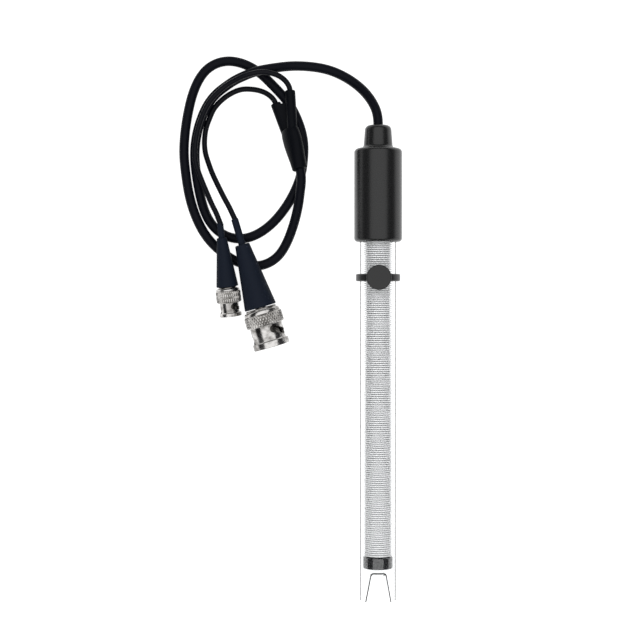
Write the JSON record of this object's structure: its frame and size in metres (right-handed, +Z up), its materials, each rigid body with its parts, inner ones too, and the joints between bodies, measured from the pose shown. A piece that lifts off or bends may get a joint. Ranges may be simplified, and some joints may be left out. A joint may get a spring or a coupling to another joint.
{
  "type": "pH electrode",
  "caption": "Laboratory pH electrode with a clear ribbed 12 mm shaft and black cap, lying with its looped cable, splitter and two bayonet plugs.",
  "frame": {"origin": "on the surface that the electrode lies on, under the middle of the electrode's own box, cable and plugs left out", "axes": "+Y runs along the electrode from its open tip to its cap, +Z is up from the surface and is the side of the filling hole, and the cable loops lie towards -X"},
  "size_m": [0.0752, 0.1836, 0.0165],
  "materials": {
    "clear_body": "clear polished polymer tube",
    "stem_glass": "clear blown glass",
    "pale_sleeve": "pale translucent, finely ribbed",
    "black_plastic": "satin moulded black",
    "black_rubber": "matte black",
    "seal_rubber": "glossy black",
    "cable_jacket": "semi-matte black",
    "boot_rubber": "matte blue-black",
    "nickel": "bright nickel plate",
    "gilt": "gilt contact",
    "white_ptfe": "waxy white",
    "ceramic": "porous off-white",
    "silver_wire": "dull silver wire",
    "spring_steel": "plain spring steel",
    "silicone": "red silicone",
    "epoxy": "cast black resin"
  },
  "bodies": {
    "electrode": {"outer_tube": "clear_body", "cap": "black_plastic", "glass_stem": "stem_glass", "seal_ring": "seal_rubber", "ceramic_junction": "ceramic", "ribbed_sleeve": "pale_sleeve", "top_seal": "black_rubber", "stem_bung": "black_rubber", "cap_potting": "epoxy", "measuring_wire": "silver_wire", "reference_wire": "silver_wire", "temperature_sensor": "ceramic", "main_cable": "cable_jacket", "large_branch_cable": "cable_jacket", "small_branch_cable": "cable_jacket", "splitter_sleeve": "cable_jacket", "large_branch_sleeve": "cable_jacket", "small_branch_sleeve": "cable_jacket", "large_plug_boot": "boot_rubber", "large_plug_neck": "boot_rubber", "large_plug_ferrule": "nickel", "large_plug_body": "nickel", "large_plug_insulator": "white_ptfe", "large_plug_pin": "gilt", "large_plug_washer": "spring_steel", "large_plug_snap_ring": "spring_steel", "large_plug_gasket": "silicone", "small_plug_boot": "boot_rubber", "small_plug_neck": "boot_rubber", "small_plug_ferrule": "nickel", "small_plug_body": "nickel", "small_plug_insulator": "white_ptfe", "small_plug_pin": "gilt", "small_plug_washer": "spring_steel", "small_plug_snap_ring": "spring_steel", "small_plug_gasket": "silicone"},
    "fill_band": {"fill_band": "black_rubber"},
    "large_coupling": {"large_plug_coupling": "nickel"},
    "small_coupling": {"small_plug_coupling": "nickel"}
  },
  "joints": [
    {"name": "fill_band_slide", "type": "slide", "parent": "electrode", "child": "fill_band", "axis": [0, -0.9999, -0.0164], "range_m": [-0.0075, 0.015]},
    {"name": "large_coupling_turn", "type": "hinge", "parent": "electrode", "child": "large_coupling", "pos_m": [-0.03947, 0.01874, 0.00662], "axis": [0.2806, -0.9594, -0.0279], "continuous": true},
    {"name": "small_coupling_turn", "type": "hinge", "parent": "electrode", "child": "small_coupling", "pos_m": [-0.05074, 0.02581, 0.00495], "axis": [0.1091, -0.9881, -0.108], "continuous": true}
  ]
}
